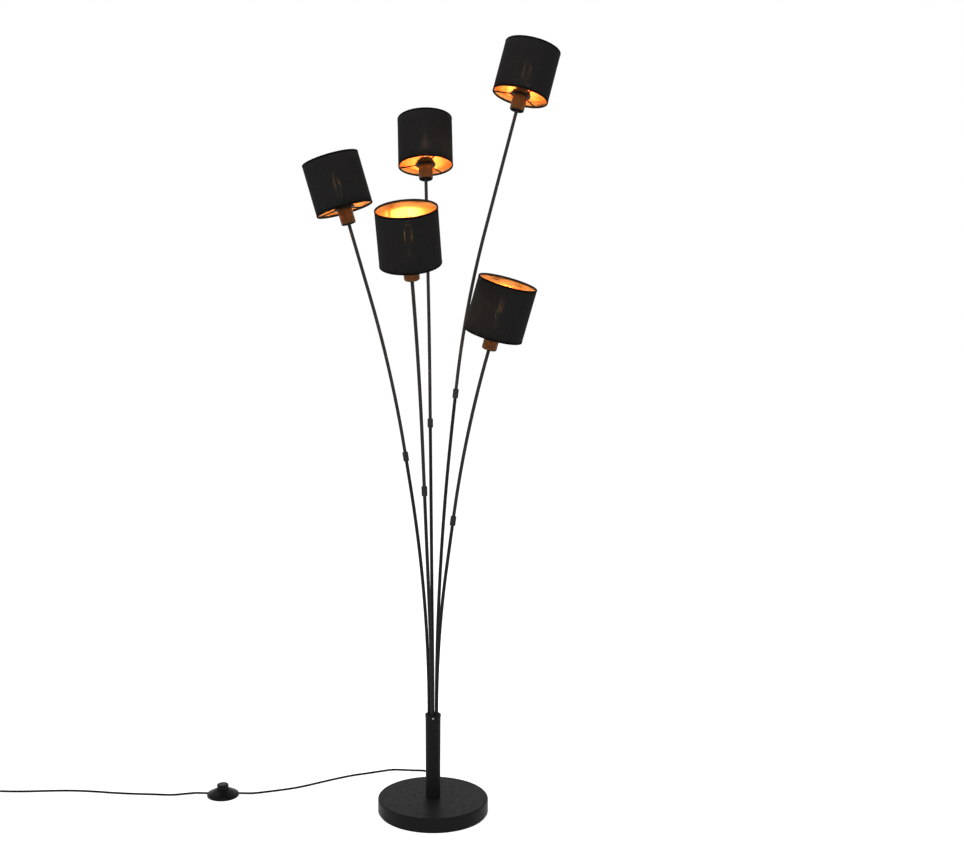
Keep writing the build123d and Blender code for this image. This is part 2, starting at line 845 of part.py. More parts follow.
plug_rear_y = plug_tail_end_y - plug_relief_length
plug_face_y = plug_rear_y - plug_length
plug_middle = Plane(origin=(plug_x, plug_rear_y, plug_axis_z), x_dir=(0, -1, 0), z_dir=(0, 0, 1))
plug_end_plane = Plane(origin=(plug_x, plug_face_y, plug_axis_z), x_dir=(1, 0, 0), z_dir=(0, -1, 0))

with BuildPart() as plug_body:
    with BuildSketch(plug_middle):
        with BuildLine():
            Polyline(
                (0, plug_rear_width / 2),
                (plug_shoulder, plug_width / 2),
                (plug_length, plug_width / 2),
                (plug_length, -plug_width / 2),
                (plug_shoulder, -plug_width / 2),
                (0, -plug_rear_width / 2),
                close=True,
            )
        make_face()
        fillet(vertices(), plug_corner_radius)
    extrude(amount=plug_thickness / 2, both=True)
    fillet(faces().sort_by(Axis.Z)[-1].edges() + faces().sort_by(Axis.Z)[0].edges(), plug_edge_radius)
    with BuildSketch(plug_middle):
        with BuildLine():
            Polyline(
                (-plug_relief_length, 0),
                (-plug_relief_length, plug_relief_tip_radius),
                (0, plug_relief_root_radius),
                (plug_shoulder / 2, plug_relief_root_radius),
                (plug_shoulder / 2, 0),
                close=True,
            )
        make_face()
    revolve(axis=Axis(plug_middle.origin, plug_middle.x_dir))
    with BuildSketch(plug_end_plane):
        with GridLocations(pin_spacing, 0, 2, 1):
            Circle(pin_root_radius + fit_gap)
    extrude(amount=-pin_seat_depth, mode=Mode.SUBTRACT)
finish(plug_body, "plug_body")

with BuildPart() as plug_pins:
    with BuildSketch(plug_end_plane.offset(-pin_seat_depth)):
        with GridLocations(pin_spacing, 0, 2, 1):
            Circle(pin_root_radius)
    extrude(amount=pin_seat_depth)
    with BuildSketch(plug_end_plane):
        with GridLocations(pin_spacing, 0, 2, 1):
            Circle(pin_shank_radius)
    extrude(amount=pin_shank_length)
    with BuildSketch(plug_end_plane.offset(pin_shank_length)):
        with GridLocations(pin_spacing, 0, 2, 1):
            Circle(pin_radius)
    extrude(amount=pin_length - pin_shank_length)
    chamfer(edges().group_by(Axis.Y)[0], pin_tip_chamfer)
finish(plug_pins, "plug_pins")
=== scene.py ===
from math import cos, pi, radians, sin

import bmesh
import bpy
from mathutils import Matrix, Vector

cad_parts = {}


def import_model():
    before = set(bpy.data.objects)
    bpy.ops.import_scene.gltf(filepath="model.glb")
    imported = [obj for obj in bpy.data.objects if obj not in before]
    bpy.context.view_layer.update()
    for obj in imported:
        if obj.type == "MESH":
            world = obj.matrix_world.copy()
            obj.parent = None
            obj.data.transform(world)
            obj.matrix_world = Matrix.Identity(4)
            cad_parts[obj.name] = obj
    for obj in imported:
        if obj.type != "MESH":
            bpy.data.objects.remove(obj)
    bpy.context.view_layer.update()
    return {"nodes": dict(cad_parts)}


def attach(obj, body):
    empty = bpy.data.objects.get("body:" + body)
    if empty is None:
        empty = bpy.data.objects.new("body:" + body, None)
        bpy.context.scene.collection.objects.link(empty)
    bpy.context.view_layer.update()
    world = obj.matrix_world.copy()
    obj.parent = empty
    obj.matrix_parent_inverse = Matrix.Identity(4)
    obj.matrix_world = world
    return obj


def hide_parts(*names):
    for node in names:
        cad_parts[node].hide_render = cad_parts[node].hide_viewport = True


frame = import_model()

nodes = frame["nodes"]
BODY = "lamp"
LETTERS = "abcde"

# ------------------------------------------------------------------ camera

# Fitted to the photograph
CAMERA_PLACE = (0.0, -2.7555, 1.1525)
CAMERA_PITCH = 82.651
CAMERA_LENS = 51.29
CAMERA_SHIFT = 0.0508

camera_data = bpy.data.cameras.new("camera")
camera = bpy.data.objects.new("camera", camera_data)
bpy.context.collection.objects.link(camera)
camera.location = CAMERA_PLACE
camera.rotation_euler = (radians(CAMERA_PITCH), 0.0, 0.0)
camera_data.sensor_width = 36.0
camera_data.lens = CAMERA_LENS
camera_data.shift_x = CAMERA_SHIFT
bpy.context.scene.camera = camera

# ------------------------------------------------------------------ supply cord

CORD_DIAMETER = 0.0045
FLOOR_Z = CORD_DIAMETER / 2

# The coil: centre, inner radius, distance of the turns in a layer, rise of the second layer, half turns of a layer
COIL_CENTRE = (-1.064, 0.078)
COIL_INNER = 0.020
COIL_PITCH = 0.0058
COIL_RISE = 0.0053
HALF_TURNS = 5
POINTS_PER_HALF_TURN = 6
COIL_OUTER = COIL_INNER + HALF_TURNS * COIL_PITCH / 2

# The routes of part.py, in metres: chosen points that the cord runs along
TO_SWITCH = [
    (0.0, 0.113, 0.0105),
    (0.0, 0.153, 0.0105),
    (0.006, 0.1925, FLOOR_Z),
    (-0.0012, 0.2122, FLOOR_Z),
    (-0.021, 0.2237, FLOOR_Z),
    (-0.044, 0.224, FLOOR_Z),
    (-0.068, 0.227, FLOOR_Z),
    (-0.092, 0.2295, FLOOR_Z),
    (-0.121, 0.2175, FLOOR_Z),
    (-0.151, 0.205, FLOOR_Z),
    (-0.180, 0.1945, FLOOR_Z),
    (-0.221, 0.171, FLOOR_Z),
    (-0.261, 0.1445, FLOOR_Z),
    (-0.297, 0.122, FLOOR_Z),
    (-0.333, 0.108, FLOOR_Z),
    (-0.362, 0.0985, FLOOR_Z),
    (-0.384, 0.091, 0.0025),
    (-0.398, 0.0855, 0.0042),
    (-0.4115, 0.083, 0.0056),
    (-0.424, 0.083, 0.0056),
]
TO_COIL = [
    (-0.482, 0.083, 0.0056),
    (-0.4945, 0.083, 0.0056),
    (-0.5065, 0.0875, 0.0044),
    (-0.5195, 0.0908, 0.0026),
    (-0.536, 0.0875, FLOOR_Z),
    (-0.562, 0.0805, FLOOR_Z),
    (-0.599, 0.0845, FLOOR_Z),
    (-0.640, 0.087, FLOOR_Z),
    (-0.688, 0.092, FLOOR_Z),
    (-0.736, 0.101, FLOOR_Z),
    (-0.785, 0.106, FLOOR_Z),
    (-0.834, 0.1045, FLOOR_Z),
    (-0.884, 0.1005, FLOOR_Z),
    (-0.934, 0.1015, FLOOR_Z),
    (-0.980, 0.1065, FLOOR_Z),
    (-1.019, 0.1116, FLOOR_Z),
    (-1.040, 0.1125, FLOOR_Z),
]
TO_PLUG = [
    (COIL_CENTRE[0] + CORD_DIAMETER, COIL_CENTRE[1] - COIL_OUTER, FLOOR_Z + COIL_RISE),
    (-1.0355, 0.0435, 0.0052),
    (-1.0185, 0.0265, 0.0030),
    (-1.0185, 0.0040, 0.0038),
    (-1.0185, -0.0170, 0.00685),
    (-1.0185, -0.0400, 0.00685),
]


def coil_points():
    """Control points of the two layers. They stand a little outside the turns that the spline makes."""
    outside = 1 / cos(pi / POINTS_PER_HALF_TURN / 2)
    ends = []
    for step in range(2 * HALF_TURNS + 2):
        layer = step > HALF_TURNS
        radius = COIL_INNER + abs(step - HALF_TURNS - layer) * COIL_PITCH / 2
        side = 1 if step % 2 == 0 else -1
        ends.append((COIL_CENTRE[1] + side * radius, FLOOR_Z + layer * COIL_RISE))
    points = []
    for step, ((y_from, z_from), (y_to, z_to)) in enumerate(zip(ends, ends[1:])):
        middle = (y_from + y_to) / 2
        radius = abs(y_from - y_to) / 2 * outside
        first = pi / 2 if step % 2 == 0 else -pi / 2
        last_step = step == 2 * HALF_TURNS
        for k in range(POINTS_PER_HALF_TURN + last_step):
            share = k / POINTS_PER_HALF_TURN
            angle = first + share * pi
            height = z_from + (z_to - z_from) * share
            points.append((COIL_CENTRE[0] + radius * cos(angle), middle + radius * sin(angle), height))
    return points


def cord(name, points):
    """Round cord along one smooth spline. Its points carry the radius, so that its box is no wider than the cord."""
    curve = bpy.data.curves.new(name, "CURVE")
    curve.dimensions = "3D"
    curve.bevel_depth = 1.0
    curve.bevel_resolution = 5
    curve.resolution_u = 6
    curve.use_fill_caps = True
    spline = curve.splines.new("NURBS")
    spline.points.add(len(points) - 1)
    for place, point in zip(spline.points, points):
        place.co = (*point, 1.0)
        place.radius = CORD_DIAMETER / 2
    spline.order_u = 3
    spline.use_endpoint_u = True
    piece = bpy.data.objects.new(name, curve)
    bpy.context.collection.objects.link(piece)
    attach(piece, BODY)
    return piece


switch_cord = cord("cord_to_switch", TO_SWITCH)
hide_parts("cord_lamp_side")
plug_cord = cord("cord_to_plug", TO_COIL + coil_points() + TO_PLUG)
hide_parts("cord_plug_side", "cord_coil", "cord_plug_tail")

# ------------------------------------------------------------------ materials


def math_node(tree, operation, one, other):
    """Math node whose two inputs are numbers or outputs of other nodes."""
    node = tree.nodes.new("ShaderNodeMath")
    node.operation = operation
    for value, socket in zip((one, other), node.inputs):
        if isinstance(value, (int, float)):
            socket.default_value = value
        else:
            tree.links.new(value, socket)
    return node.outputs["Value"]


def seen_directly(tree, path):
    """1 for rays from the camera and for those that gloss and glass send on, else 0."""
    seen = math_node(tree, "MAXIMUM", path.outputs["Is Camera Ray"], path.outputs["Is Glossy Ray"])
    return math_node(tree, "MAXIMUM", seen, path.outputs["Is Transmission Ray"])


class Shader:
    """A node material with a Principled shader, and short calls for the nodes that feed it."""

    def __init__(self, name, base, roughness, **sockets):
        self.material = bpy.data.materials.new(name)
        self.material.use_nodes = True
        self.tree = self.material.node_tree
        self.principled = self.tree.nodes["Principled BSDF"]
        self.output = self.tree.nodes["Material Output"]
        self.set("Base Color", (*base, 1.0))
        self.set("Roughness", roughness)
        for label, value in sockets.items():
            self.set(label.replace("_", " ").title().replace("Ior", "IOR"), value)

    def set(self, label, value):
        self.principled.inputs[label].default_value = value

    def node(self, kind, **settings):
        node = self.tree.nodes.new(kind)
        for label, value in settings.items():
            setattr(node, label, value)
        return node

    def link(self, source, target):
        self.tree.links.new(source, target)

    def place(self, kind="Object", scale=(1, 1, 1)):
        """Texture coordinates, stretched by scale."""
        coordinates = self.node("ShaderNodeTexCoord")
        mapping = self.node("ShaderNodeMapping")
        mapping.inputs["Scale"].default_value = scale
        self.link(coordinates.outputs[kind], mapping.inputs["Vector"])
        return mapping.outputs["Vector"]

    def noise(self, vector, scale, detail=2.0, roughness=0.5):
        noise = self.node("ShaderNodeTexNoise")
        self.link(vector, noise.inputs["Vector"])
        noise.inputs["Scale"].default_value = scale
        noise.inputs["Detail"].default_value = detail
        noise.inputs["Roughness"].default_value = roughness
        return noise.outputs["Fac"]

    def voronoi(self, vector, scale):
        """Distance to the middle of the nearest cell."""
        cells = self.node("ShaderNodeTexVoronoi", feature="F1")
        self.link(vector, cells.inputs["Vector"])
        cells.inputs["Scale"].default_value = scale
        return cells.outputs["Distance"]

    def wave(self, vector, scale, direction, distortion):
        wave = self.node(
            "ShaderNodeTexWave", wave_type="BANDS", bands_direction=direction, wave_profile="SIN"
        )
        self.link(vector, wave.inputs["Vector"])
        wave.inputs["Scale"].default_value = scale
        wave.inputs["Distortion"].default_value = distortion
        wave.inputs["Detail"].default_value = 1.0
        return wave.outputs["Fac"]

    def span(self, value, low, high, start=0.0, end=1.0):
        """Value between start and end mapped to low and high."""
        mapped = self.node("ShaderNodeMapRange")
        self.link(value, mapped.inputs["Value"])
        mapped.inputs["From Min"].default_value = start
        mapped.inputs["From Max"].default_value = end
        mapped.inputs["To Min"].default_value = low
        mapped.inputs["To Max"].default_value = high
        return mapped.outputs["Result"]

    def ramp(self, value, *stops):
        """Colour ramp with stops of (position, colour)."""
        ramp = self.node("ShaderNodeValToRGB")
        elements = ramp.color_ramp.elements
        while len(elements) < len(stops):
            elements.new(0.5)
        for element, (position, colour) in zip(elements, stops):
            element.position = position
            element.color = (*colour, 1.0)
        self.link(value, ramp.inputs["Fac"])
        return ramp.outputs["Color"]

    def math(self, operation, one, other):
        return math_node(self.tree, operation, one, other)

    def colour(self, source):
        self.link(source, self.principled.inputs["Base Color"])

    def rough(self, source):
        self.link(source, self.principled.inputs["Roughness"])

    def bump(self, height, strength, distance):
        bump = self.node("ShaderNodeBump")
        bump.inputs["Strength"].default_value = strength
        bump.inputs["Distance"].default_value = distance
        self.link(height, bump.inputs["Height"])
        self.link(bump.outputs["Normal"], self.principled.inputs["Normal"])


def coated(name, dark, light, roughness, grain=1400.0, depth=0.00006, **sockets):
    """Powder coat or moulded plastic: fine orange peel, faint clouds of tone and roughness."""
    shader = Shader(name, light, roughness, **sockets)
    place = shader.place()
    clouds = shader.noise(place, 28.0, 3.0, 0.6)
    shader.colour(shader.ramp(clouds, (0.3, dark), (0.7, light)))
    shader.rough(shader.span(shader.noise(place, 90.0, 2.0), roughness - 0.06, roughness + 0.06, 0.3, 0.7))
    shader.bump(shader.noise(place, grain, 2.0, 0.55), 0.5, depth)
    return shader.material


def metal(name, dark, light, roughness):
    """Plated metal with a fine grain and a few duller patches."""
    shader = Shader(name, light, roughness, metallic=1.0)
    place = shader.place()
    clouds = shader.noise(place, 120.0, 4.0, 0.6)
    shader.colour(shader.ramp(clouds, (0.25, dark), (0.75, light)))
    shader.rough(shader.span(shader.noise(place, 400.0, 3.0), roughness - 0.08, roughness + 0.12, 0.3, 0.7))
    shader.bump(shader.noise(place, 2200.0, 2.0), 0.3, 0.00003)
    return shader.material


def cast_iron():
    """Rough grey iron of the base's weight."""
    shader = Shader("iron", (0.05, 0.05, 0.053), 0.75)
    place = shader.place()
    clouds = shader.noise(place, 60.0, 5.0, 0.65)
    shader.colour(shader.ramp(clouds, (0.3, (0.03, 0.029, 0.028)), (0.7, (0.09, 0.088, 0.087))))
    shader.bump(shader.noise(place, 700.0, 4.0, 0.7), 0.8, 0.0002)
    return shader.material


def foam():
    """Dull foam with open cells."""
    shader = Shader("foam", (0.016, 0.016, 0.016), 0.95, specular_ior_level=0.15)
    place = shader.place()
    cells = shader.voronoi(place, 1600.0)
    shader.colour(shader.ramp(cells, (0.0, (0.006, 0.006, 0.006)), (0.6, (0.022, 0.022, 0.022))))
    shader.bump(cells, 0.7, 0.0003)
    return shader.material


def sheath():
    """Cord sheath: extruded plastic with faint clouds of tone and roughness and a fine grain."""
    shader = Shader("cord_sheath", (0.010, 0.010, 0.0105), 0.42, specular_ior_level=0.06)
    place = shader.place()
    clouds = shader.noise(place, 45.0, 3.0)
    shader.colour(shader.ramp(clouds, (0.3, (0.008, 0.008, 0.0085)), (0.7, (0.012, 0.012, 0.0125))))
    shader.rough(shader.span(shader.noise(place, 160.0, 2.0), 0.36, 0.5, 0.3, 0.7))
    shader.bump(shader.noise(place, 2600.0, 2.0), 0.35, 0.00004)
    return shader.material


# Threads of the weave per metre
THREAD = 1 / 0.00042
# A wave texture makes one band every 2 pi / 20 units
BAND = 2 * pi / 20


def hidden_behind_weave(shader, source):
    """Source for every ray but one that has come through the weave: there only the bright filaments show."""
    dark = shader.node("ShaderNodeBsdfDiffuse")
    dark.inputs["Color"].default_value = (0.0, 0.0, 0.0, 1.0)
    path = shader.node("ShaderNodeLightPath")
    mix = shader.node("ShaderNodeMixShader")
    shader.link(shader.math("GREATER_THAN", path.outputs["Transparent Depth"], 0.5), mix.inputs["Fac"])
    shader.link(source, mix.inputs[1])
    shader.link(dark.outputs["BSDF"], mix.inputs[2])
    return mix.outputs["Shader"]


def weave(name, tone):
    """Plain linen weave on the outside of a shade, in metres round and up the wall."""
    shader = Shader(name, tone, 0.9, specular_ior_level=0.04)
    place = shader.place("UV")
    turns = THREAD * BAND
    warp = shader.wave(place, turns, "X", 0.6)
    weft = shader.wave(place, turns, "Y", 0.6)
    cloth = shader.math("MAXIMUM", warp, weft)
    slub_up = shader.noise(shader.place("UV", (THREAD * 0.5, 55.0, 1.0)), 1.0, 2.0, 0.6)
    slub_round = shader.noise(shader.place("UV", (55.0, THREAD * 0.5, 1.0)), 1.0, 2.0, 0.6)
    slubs = shader.math("ADD", slub_up, slub_round)
    dark = tuple(value * 0.72 for value in tone)
    light = tuple(value * 1.3 for value in tone)
    shader.colour(shader.ramp(shader.math("MULTIPLY", slubs, 0.5), (0.32, dark), (0.68, light)))
    shader.bump(shader.math("ADD", cloth, shader.math("MULTIPLY", slubs, 0.6)), 0.5, 0.0001)
    return shader


# Share of the light that goes straight through the weave
SEE_THROUGH = 0.012


def outer_fabric():
    """Black weave that lets a trace of the filaments' light straight through."""
    shader = weave("shade_weave", (0.0150, 0.0144, 0.0141))
    clear = shader.node("ShaderNodeBsdfTransparent")
    mix = shader.node("ShaderNodeMixShader")
    mix.inputs["Fac"].default_value = SEE_THROUGH
    shader.link(shader.principled.outputs["BSDF"], mix.inputs[1])
    shader.link(clear.outputs["BSDF"], mix.inputs[2])
    shader.link(mix.outputs["Shader"], shader.output.inputs["Surface"])
    return shader.material


def foil():
    """Rose gold foil lining: satin metal with faint drag lines up and down and shallow waves.

    Its back lets light through to the weave. Through the weave only the much brighter filaments show,
    and not the lining behind them.
    """
    shader = Shader("shade_foil", (0.83, 0.30, 0.07), 0.32, metallic=0.90)
    place = shader.place("UV")
    clouds = shader.noise(place, 35.0, 3.0, 0.6)
    shader.colour(shader.ramp(clouds, (0.3, (0.82, 0.292, 0.067)), (0.7, (0.85, 0.308, 0.073))))
    streaks = shader.noise(shader.place("UV", (700.0, 12.0, 1.0)), 1.0, 2.0, 0.5)
    shader.rough(shader.span(streaks, 0.28, 0.36, 0.3, 0.7))
    waves = shader.noise(shader.place("UV", (30.0, 10.0, 1.0)), 1.0, 1.0, 0.4)
    fine = shader.noise(place, 1500.0, 2.0)
    shader.bump(shader.math("ADD", waves, shader.math("MULTIPLY", fine, 0.01)), 0.05, 0.0006)
    clear = shader.node("ShaderNodeBsdfTransparent")
    mix = shader.node("ShaderNodeMixShader")
    side = shader.node("ShaderNodeNewGeometry")
    shader.link(side.outputs["Backfacing"], mix.inputs["Fac"])
    shader.link(hidden_behind_weave(shader, shader.principled.outputs["BSDF"]), mix.inputs[1])
    shader.link(clear.outputs["BSDF"], mix.inputs[2])
    shader.link(mix.outputs["Shader"], shader.output.inputs["Surface"])
    return shader.material


def cup_lacquer_with_painted_glow():
    """Black satin lacquer of the lamp holders. The lining's warm light on their sides is painted in: a brown colour
    there and an orange tint on the reflections. Plain black underneath.
    """
    shader = Shader("holder_lacquer_painted_glow", (0.066, 0.037, 0.0145), 0.42, specular_tint=(1.0, 0.60, 0.32, 1.0))
    place = shader.place()
    clouds = shader.noise(place, 40.0, 2.0, 0.5)
    painted_warm_tone = shader.ramp(clouds, (0.3, (0.064, 0.0355, 0.0140)), (0.7, (0.069, 0.0385, 0.0152)))
    # Painted glow: faces turned sideways or up get the brown colour and a little reflection, faces turned down stay
    # black.
    facing = shader.node("ShaderNodeNewGeometry")
    parts = shader.node("ShaderNodeSeparateXYZ")
    shader.link(facing.outputs["Normal"], parts.inputs["Vector"])
    side = shader.span(parts.outputs["Z"], 0.0, 1.0, -0.8, -0.55)
    blend = shader.node("ShaderNodeMix", data_type="RGBA")
    shader.link(side, blend.inputs["Factor"])
    blend.inputs[6].default_value = (0.010, 0.010, 0.0102, 1.0)
    shader.link(painted_warm_tone, blend.inputs[7])
    shader.colour(blend.outputs[2])
    shader.link(shader.span(side, 0.0, 0.14), shader.principled.inputs["Specular IOR Level"])
    shader.bump(shader.noise(place, 1800.0, 2.0, 0.55), 0.1, 0.00003)
    return shader.material


def glass(name, smoothest, roughest):
    """Faintly amber glass."""
    shader = Shader(name, (1.0, 0.9, 0.72), smoothest, transmission_weight=1.0, ior=1.46)
    place = shader.place()
    shader.rough(shader.span(shader.noise(place, 90.0, 2.0), smoothest, roughest, 0.3, 0.7))
    shader.bump(shader.noise(place, 60.0, 1.0), 0.02, 0.0002)
    return shader.material


def glowing(name, colour, strength):
    """Lit filament with slightly deeper beads along it."""
    shader = Shader(name, (1.0, 0.8, 0.5), 0.6, emission_strength=strength)
    place = shader.place()
    beads = shader.noise(place, 900.0, 1.0)
    deep = tuple(value * share for value, share in zip(colour, (1.0, 0.8, 0.55)))
    shader.link(
        shader.ramp(beads, (0.35, deep), (0.65, colour)),
        shader.principled.inputs["Emission Color"],
    )
    return shader.material


COAT_ROUGHNESS = 0.46
powder = coated(
    "powder_coat", (0.0091, 0.0091, 0.0092), (0.0100, 0.0100, 0.0101), COAT_ROUGHNESS, specular_ior_level=0.045
)
# Lighter copies of the pole's black powder coat, with painted light: the lower arm tubes are drawn lighter than the
# pole, the upper tubes and the sleeves lighter still.
arm_coat_painted_light = coated(
    "arm_coat_painted_light", (0.0150, 0.0150, 0.0152), (0.0185, 0.0185, 0.0187), COAT_ROUGHNESS, specular_ior_level=0.05
)
tip_coat_painted_light = coated(
    "tip_coat_painted_light", (0.0240, 0.0240, 0.0242), (0.0290, 0.0290, 0.0292), COAT_ROUGHNESS, specular_ior_level=0.05
)
holder_finish_painted_glow = cup_lacquer_with_painted_glow()
dull = coated(
    "dull_plastic", (0.010, 0.010, 0.0102), (0.014, 0.014, 0.0142), 0.55, 1100.0, 0.00008, specular_ior_level=0.08
)
gloss = coated(
    "gloss_plastic", (0.004, 0.004, 0.0042), (0.0055, 0.0055, 0.0058), 0.22, 900.0, 0.00002, specular_ior_level=0.07
)
enamel = coated("black_wire", (0.003, 0.003, 0.0032), (0.005, 0.005, 0.0052), 0.45, specular_ior_level=0.05)
zinc = metal("zinc_plate", (0.45, 0.45, 0.44), (0.68, 0.67, 0.65), 0.3)
nickel = metal("nickel_plate", (0.6, 0.58, 0.54), (0.78, 0.76, 0.71), 0.18)
screw_steel = metal("screw_steel", (0.22, 0.22, 0.22), (0.34, 0.34, 0.33), 0.35)
black_screw = coated("black_oxide", (0.008, 0.008, 0.008), (0.016, 0.016, 0.017), 0.35, 2000.0, 0.00004)
iron = cast_iron()
pad = foam()
cord_sheath = sheath()
fabric = outer_fabric()
# The rims' rolled fabric is the wall's weave drawn about four times darker: painted shade of the turned-in hem.
painted_shade_trim = weave("rim_weave_painted_shade", (0.0038, 0.0038, 0.0041)).material
lining = foil()
clear_glass = glass("bulb_glass", 0.0, 0.012)
stem_glass = glass("stem_glass", 0.5, 0.6)
filament_glow = glowing("filament_glow", (1.0, 0.48, 0.24), 5.0)

# The arm tubes and arm_sleeves wear the lighter copies of the powder coat, which are painted light.
FINISHES = {
    "base_cover": powder, "pole_tube": powder, "arm_sleeves": tip_coat_painted_light, "base_weight": iron, "base_pad": pad,
    "cord_relief": dull, "tie_rod": zinc, "tie_washer": zinc, "tie_nut": zinc, "pole_plug": zinc,
    "rod_hub": dull, "hub_screw": screw_steel, "sleeve_screws": black_screw, "holder_nuts": zinc,
    "ring_nuts": dull, "switch_plate": dull, "switch_contact": dull, "switch_cover": gloss,
    "switch_button": gloss, "plug_body": gloss, "plug_pins": nickel,
}
# The holder cups' lacquer has the lining's warm glow painted on its sides.
for letter in LETTERS:
    FINISHES[f"arm_lower_{letter}"] = arm_coat_painted_light
    FINISHES[f"arm_upper_{letter}"] = tip_coat_painted_light
    FINISHES[f"holder_cup_{letter}"] = holder_finish_painted_glow
    FINISHES[f"lamp_socket_{letter}"] = dull
    FINISHES[f"shade_spider_{letter}"] = enamel
for name, material in FINISHES.items():
    for place in nodes[name].material_slots:
        place.material = material
for piece in (switch_cord, plug_cord):
    piece.data.materials.append(cord_sheath)

# ------------------------------------------------------------------ shades and bulbs

# The five arms of part.py, in metres and degrees. azimuth: direction of lean. lean, bend and lower:
# angle, length of bend and whole length of the lower tube above the pole. foot, crook, tip_lean and
# upper: straight foot, length of bend, final angle and whole length of the upper tube.
ARMS = {
    "a": dict(azimuth=37.6, lean=7.7, bend=0.597, lower=0.668, foot=0.012, crook=0.323, tip_lean=18.6, upper=0.5975),
    "b": dict(azimuth=93.9, lean=8.4, bend=0.172, lower=0.604, foot=0.068, crook=0.192, tip_lean=18.3, upper=0.527),
    "c": dict(azimuth=161.6, lean=9.5, bend=0.476, lower=0.541, foot=0.012, crook=0.319, tip_lean=17.1, upper=0.4855),
    "d": dict(azimuth=257.3, lean=9.8, bend=0.168, lower=0.488, foot=0.080, crook=0.347, tip_lean=19.2, upper=0.430),
    "e": dict(azimuth=329.2, lean=8.6, bend=0.316, lower=0.415, foot=0.012, crook=0.339, tip_lean=17.4, upper=0.359),
}
POLE_MOUTH_Z = 0.2105
HUB_CIRCLE_RADIUS = 0.0086

# Shades: heights are measured from the bottom of the lamp holder
SHADE_RADIUS = 0.059
SHADE_BOTTOM = 0.0292
SHADE_TOP = 0.1382
WALL = 0.0012
WALL_ROWS = 6
WALL_END_INSET = 0.0007
FABRIC_INSET = 0.0004
LINING_INSET = 0.0003
SHADE_SIDES = 120
SEAM_AZIMUTH = 132.0
SEAM_WIDTH = 0.010
SEAM_STEP = 0.0005
SEAM_EDGE = 0.0006
RIM_INSET = 0.0013
RIM_ROLL = 0.0012
RIM_HEM = 0.0026
RIM_STEPS = 9


def run(point, lean, length):
    """End of a straight stretch that starts at point and leans from the vertical."""
    out, up = point
    return out + length * sin(radians(lean)), up + length * cos(radians(lean))


def bend(point, lean_from, lean_to, length):
    """End of an arc that starts at point and turns from one lean to another."""
    out, up = point
    radius = length / radians(lean_to - lean_from)
    return (
        out + radius * (cos(radians(lean_from)) - cos(radians(lean_to))),
        up + radius * (sin(radians(lean_to)) - sin(radians(lean_from))),
    )


def arm_tip(arm):
    """Tip of an arm, which is the bottom of its lamp holder, as part.py works it out."""
    point = bend((0.0, 0.0), 0.0, arm["lean"], arm["bend"])
    point = run(point, arm["lean"], arm["lower"] - arm["bend"] + arm["foot"])
    point = bend(point, arm["lean"], arm["tip_lean"], arm["crook"])
    out, up = run(point, arm["tip_lean"], arm["upper"] - arm["foot"] - arm["crook"])
    out += HUB_CIRCLE_RADIUS
    azimuth = radians(arm["azimuth"])
    return Vector((out * cos(azimuth), out * sin(azimuth), POLE_MOUTH_Z + up))


def holder_matrix(letter):
    """Placement with Z along the lamp holder and X towards the world's +X as near as it goes."""
    arm = ARMS[letter]
    turn = Matrix.Rotation(radians(arm["azimuth"]), 4, "Z")
    tilt = Matrix.Rotation(radians(arm["tip_lean"]), 4, "Y")
    return Matrix.Translation(arm_tip(arm)) @ turn @ tilt @ turn.inverted()


def revolved(name, profile, angles, letter, materials, pick=lambda k: 0, closed=True, shift=None):
    """Profile of (radius, height) points turned round the lamp holder's axis, with UVs in metres.

    pick gives the material of profile span k, and shift moves profile point k outwards at an angle.
    """
    shift = shift or (lambda angle, k: 0.0)
    mesh = bpy.data.meshes.new(name)
    built = bmesh.new()
    uv = built.loops.layers.uv.new("metres")
    reach = max(radius for radius, _ in profile)
    count = len(profile)
    rings = []
    for angle in angles:
        ring = []
        for k, (radius, height) in enumerate(profile):
            far = radius + shift(angle, k)
            ring.append(built.verts.new((far * cos(angle), far * sin(angle), height)))
        rings.append(ring)
    lengths = [0.0]
    for (r0, h0), (r1, h1) in zip(profile, profile[1:] + profile[:1]):
        lengths.append(lengths[-1] + ((r1 - r0) ** 2 + (h1 - h0) ** 2) ** 0.5)
    spans = count if closed else count - 1
    for i, angle in enumerate(angles):
        j = (i + 1) % len(angles)
        after = angles[j] + (2 * pi if j == 0 else 0.0)
        for k in range(spans):
            m = (k + 1) % count
            corners = [
                (rings[i][k], angle, lengths[k]),
                (rings[j][k], after, lengths[k]),
                (rings[j][m], after, lengths[k + 1]),
                (rings[i][m], angle, lengths[k + 1]),
            ]
            face = built.faces.new([corner[0] for corner in corners])
            face.smooth = True
            face.material_index = pick(k)
            for loop, (_, around, along) in zip(face.loops, corners):
                loop[uv].uv = (around * reach, along)
    bmesh.ops.remove_doubles(built, verts=built.verts, dist=1e-7)
    bmesh.ops.recalc_face_normals(built, faces=built.faces)
    built.to_mesh(mesh)
    built.free()
    piece = bpy.data.objects.new(name, mesh)
    bpy.context.collection.objects.link(piece)
    piece.matrix_world = holder_matrix(letter)
    for material in materials:
        mesh.materials.append(material)
    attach(piece, BODY)
    return piece


def even_angles(count):
    return [2 * pi * k / count for k in range(count)]


def wall_angles():
    """Angles round a shade's wall, with extra ones at the two edges of the glued seam."""
    seam = radians(SEAM_AZIMUTH)
    half = SEAM_WIDTH / SHADE_RADIUS / 2
    edge = SEAM_EDGE / SHADE_RADIUS
    extra = [end + step for end in (seam - half, seam + half) for step in (-edge, 0.0, edge)]
    angles = [angle for angle in even_angles(SHADE_SIDES) if abs(angle - seam) > half + 2 * edge]
    return sorted(angles + extra + [seam])


